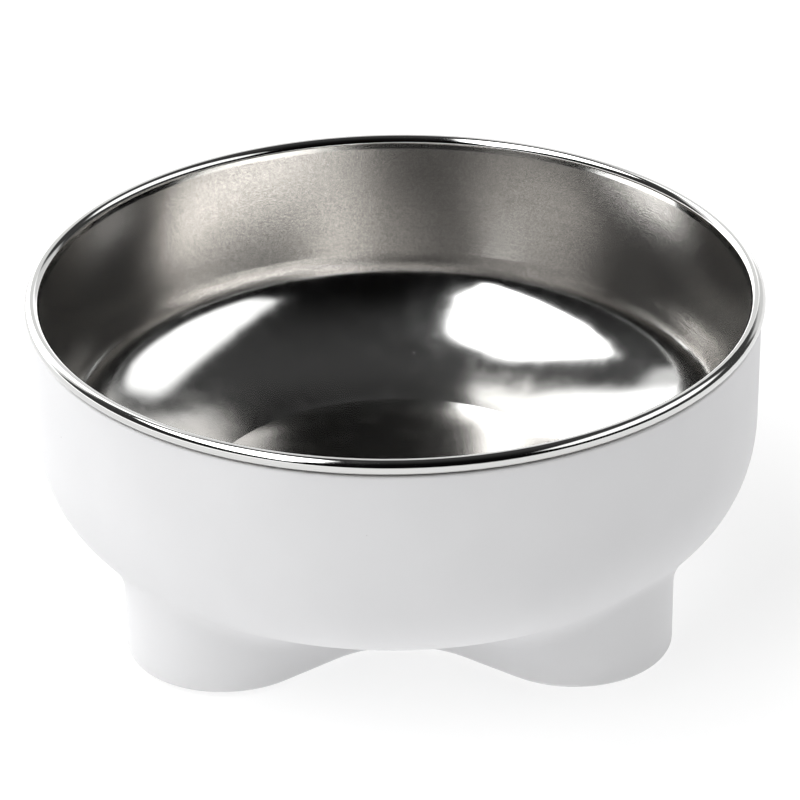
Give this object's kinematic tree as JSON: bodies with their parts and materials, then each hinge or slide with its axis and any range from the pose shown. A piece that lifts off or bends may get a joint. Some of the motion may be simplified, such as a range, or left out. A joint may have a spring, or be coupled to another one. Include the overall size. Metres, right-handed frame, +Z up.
{
  "type": "shaving bowl",
  "caption": "Round shaving bowl: a pressed steel liner with a rolled rim that lifts out of a white moulded outer shell standing on stubby rounded feet.",
  "frame": {"origin": "on the table, on the bowl's axis, midway between its feet", "axes": "+Z up along the bowl's axis; -Y is the front; the feet are on the diagonals"},
  "size_m": [0.125, 0.125, 0.053],
  "materials": {
    "liner_steel": "fine satin wall, mirror-polished floor, corner and rolled rim",
    "shell_plastic": "satin white with a very fine moulded texture",
    "seal_rubber": "matt",
    "pad_rubber": "matt"
  },
  "bodies": {
    "shell": {"outer_shell": "shell_plastic", "rim_seal": "seal_rubber", "foot_pad_front_left": "pad_rubber", "foot_pad_front_right": "pad_rubber", "foot_pad_rear_left": "pad_rubber", "foot_pad_rear_right": "pad_rubber"},
    "liner": {"steel_liner": "liner_steel"}
  },
  "joints": [
    {"name": "liner_lift", "type": "slide", "parent": "shell", "child": "liner", "axis": [0, 0, 1], "range_m": [0, 0.06]}
  ]
}
